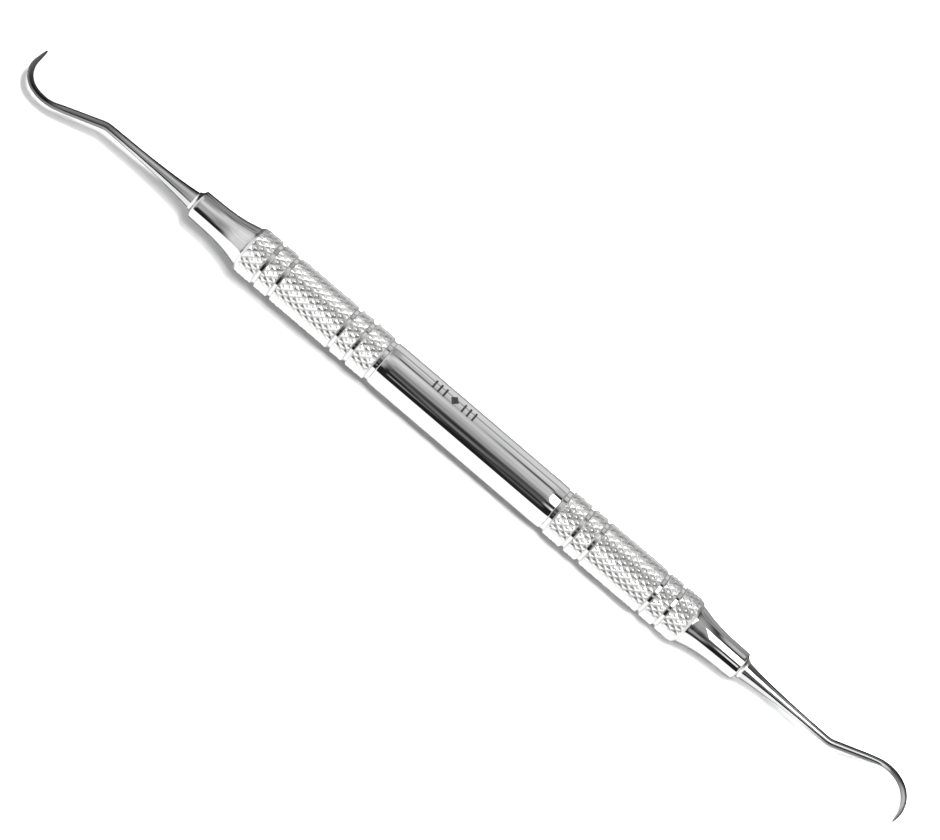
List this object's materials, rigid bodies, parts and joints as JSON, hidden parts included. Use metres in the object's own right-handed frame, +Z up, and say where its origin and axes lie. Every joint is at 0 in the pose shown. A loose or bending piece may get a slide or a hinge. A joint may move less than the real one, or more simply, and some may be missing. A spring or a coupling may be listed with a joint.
{
  "type": "hand scaler",
  "caption": "Slim steel dental hand scaler with a hollow knurled handle and a curved sickle hook at each end.",
  "frame": {"origin": "middle of the instrument's length, on the surface that its knurled bands lie on", "axes": "+X along the handle towards the right-hand tip, +Y across it in the resting plane, on the side the right-hand hook bulges to, +Z up"},
  "size_m": [0.175, 0.0082, 0.0081],
  "materials": {
    "tube_steel": "polished stainless steel with faint turning lines round it",
    "knurled_steel": "diamond-knurled stainless steel, bright on the crests and darker in the cuts",
    "cone_steel": "mirror-polished stainless steel",
    "braze": "buffed silver brazing alloy",
    "tip_steel": "hardened stainless steel, finely ground and buffed"
  },
  "bodies": {
    "root": {"centre_tube": "tube_steel", "right_grip": "knurled_steel", "left_grip": "knurled_steel", "right_cone": "cone_steel", "left_cone": "cone_steel", "right_braze_fillet": "braze", "left_braze_fillet": "braze", "right_tip": "tip_steel", "left_tip": "tip_steel"}
  },
  "joints": []
}
